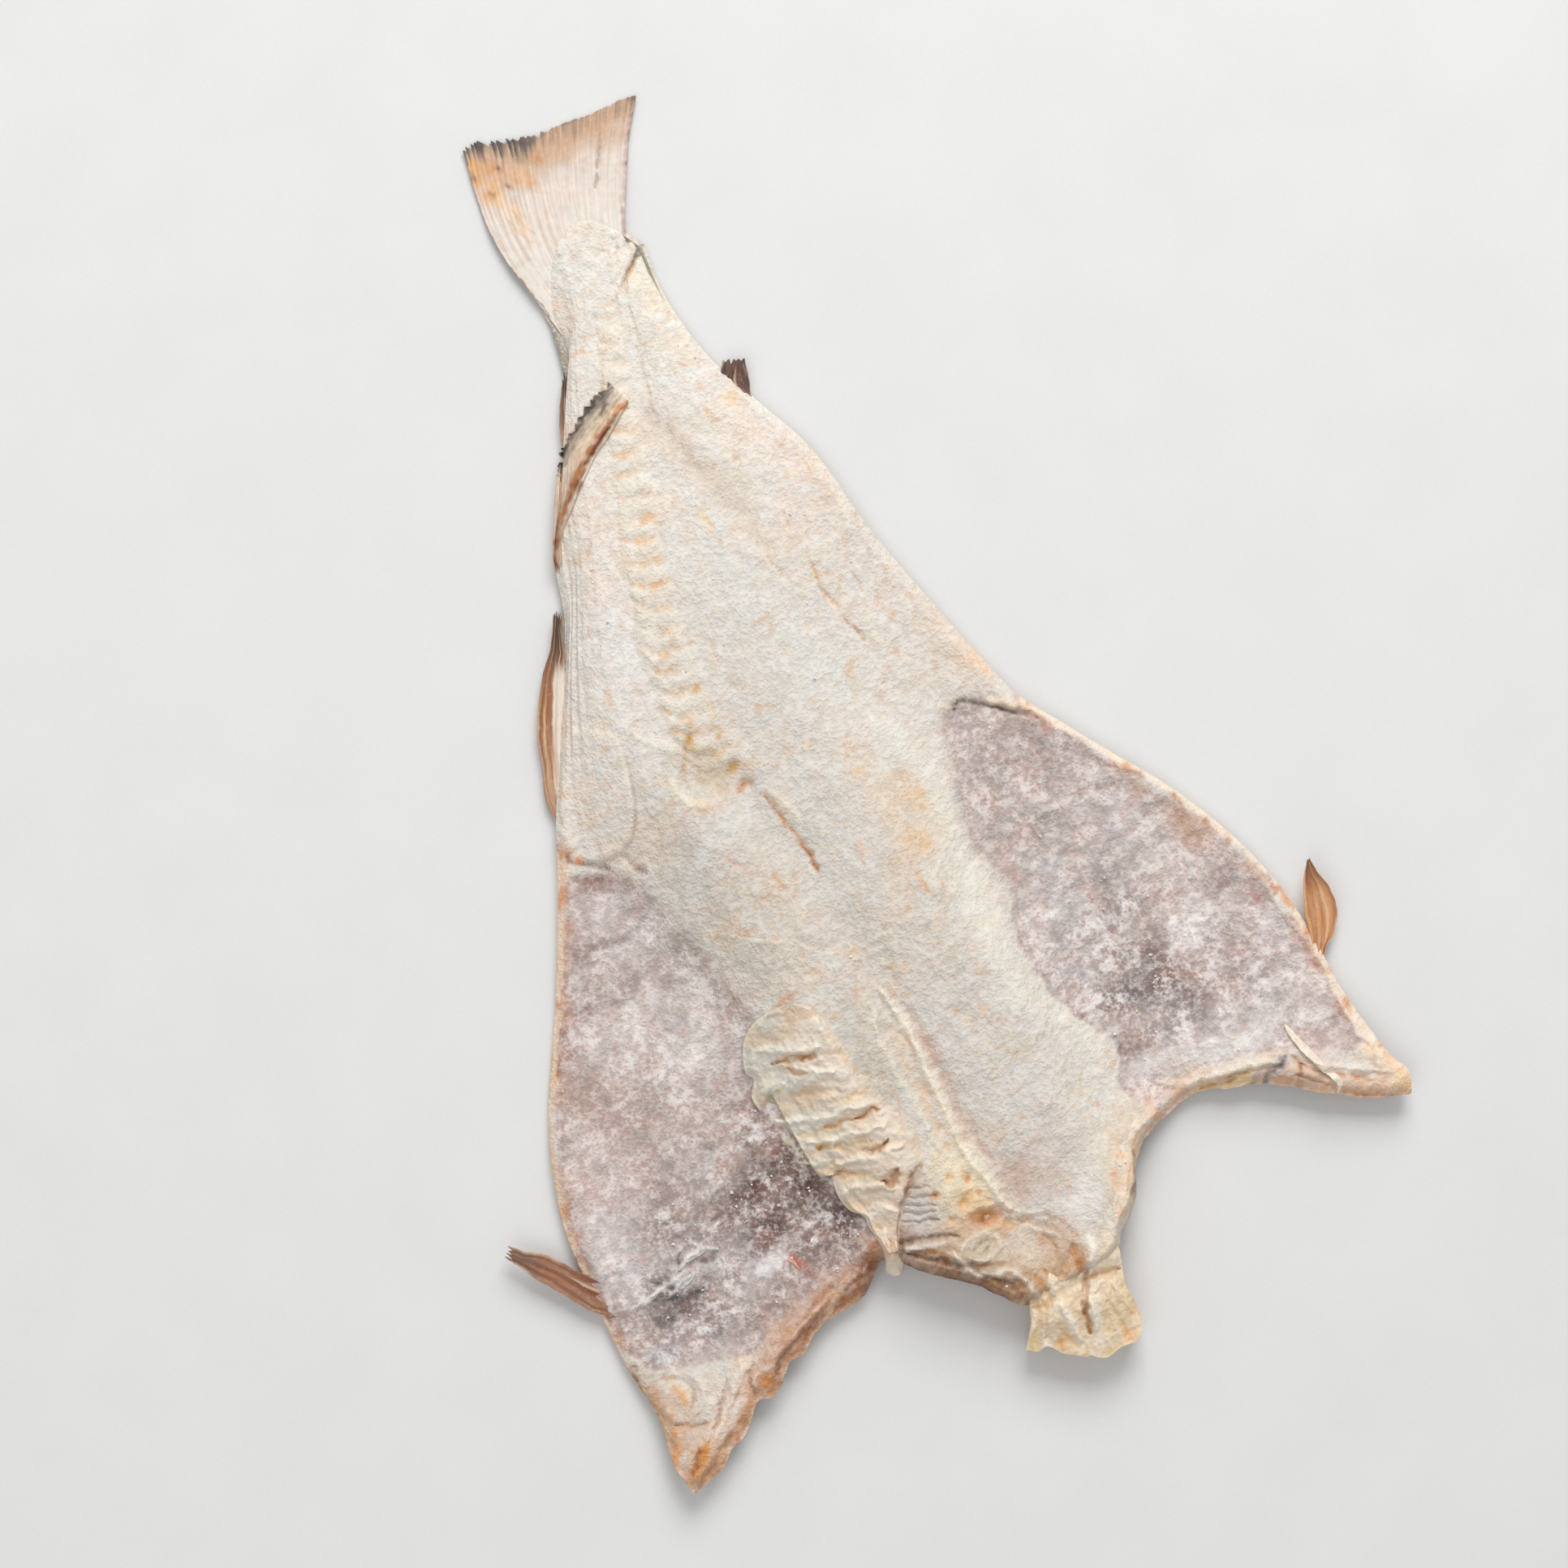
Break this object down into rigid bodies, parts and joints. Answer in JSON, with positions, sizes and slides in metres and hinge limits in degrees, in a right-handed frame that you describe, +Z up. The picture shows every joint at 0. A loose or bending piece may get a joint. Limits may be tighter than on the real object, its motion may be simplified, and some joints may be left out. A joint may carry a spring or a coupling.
{
  "type": "salted dried cod",
  "caption": "Headless salted dried cod, split along the belly and laid open flat with its flesh up, tail fin and belly flaps attached.",
  "frame": {"origin": "middle of the bounding box, on the flat skin side that the fish lies on", "axes": "+Z up through the flesh side; +Y along the fish's length, from the cut nape towards the tail fin; +X across it, towards the belly flap that is on the right when the tail points up"},
  "size_m": [0.4088, 0.617, 0.0295],
  "materials": {
    "salted_flesh": "dry, matt, cream-coloured flesh dusted with salt, with grey-purple belly lining"
  },
  "bodies": {
    "root": {"salted_dried_cod": "salted_flesh"}
  },
  "joints": []
}
